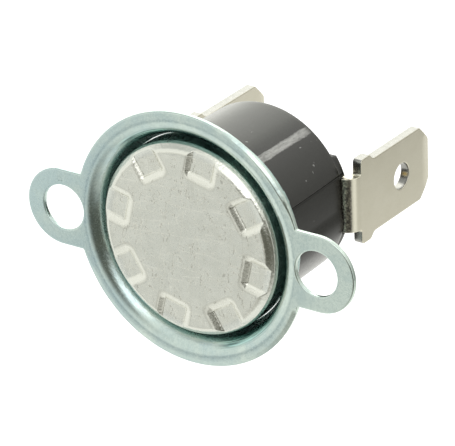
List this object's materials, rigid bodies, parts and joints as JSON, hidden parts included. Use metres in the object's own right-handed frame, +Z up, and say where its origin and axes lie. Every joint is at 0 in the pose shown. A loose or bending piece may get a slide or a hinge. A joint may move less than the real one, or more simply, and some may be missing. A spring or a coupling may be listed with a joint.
{
  "type": "oven thermostat",
  "caption": "Round snap-disc oven thermostat: metal sensing cap, eared mounting bracket, black moulded body and bent blade terminals.",
  "frame": {"origin": "middle of the two bracket holes, in the front plane of the ears", "axes": "+X along the line of the two bracket holes, +Y along the housing's axis towards the blades, so the sensing face looks along -Y, +Z up"},
  "size_m": [0.0306, 0.0232, 0.0212],
  "materials": {
    "zinc_steel": "pale blue-grey passivated zinc plate, satin",
    "cap_aluminium": "stamped aluminium, matt face and bright side wall",
    "phenolic": "moulded black phenolic, semi-gloss",
    "guide_phenolic": "moulded brown phenolic",
    "bimetal": "rolled bimetal strip",
    "ceramic": "fired ceramic",
    "spring_alloy": "copper alloy spring strip",
    "contact_silver": "silver alloy",
    "brass": "plain brass",
    "nickel_strip": "warm nickel-plated strip, satin"
  },
  "bodies": {
    "housing": {"mounting_bracket": "zinc_steel", "sensing_cap": "cap_aluminium", "base_housing": "phenolic", "guide_plate": "guide_phenolic", "arm_clamped_end": "spring_alloy", "fixed_contact": "contact_silver", "fixed_contact_plate": "brass", "arm_anchor_plate": "brass", "arm_rivet": "brass", "terminal_left": "nickel_strip", "terminal_right": "nickel_strip", "rivet_left": "brass", "rivet_right": "brass"},
    "disc": {"bimetal_disc": "bimetal"},
    "pin": {"transfer_pin": "ceramic"},
    "arm": {"contact_arm": "spring_alloy", "moving_contact": "contact_silver"}
  },
  "joints": [
    {"name": "disc_snap", "type": "slide", "parent": "housing", "child": "disc", "axis": [0, 1, 0], "range_m": [0, 0.00035]},
    {"name": "pin_slide", "type": "slide", "parent": "housing", "child": "pin", "axis": [0, 1, 0], "range_m": [0, 0.00035]},
    {"name": "arm_lift", "type": "hinge", "parent": "housing", "child": "arm", "pos_m": [-0.00275, 0.00602, 0], "axis": [0, 0, 1], "range_deg": [0, 7.6]}
  ],
  "couplings": [
    {"joint": "pin_slide", "follows": "disc_snap", "ratio": 1},
    {"joint": "arm_lift", "follows": "disc_snap", "rad_per_m": 375}
  ]
}
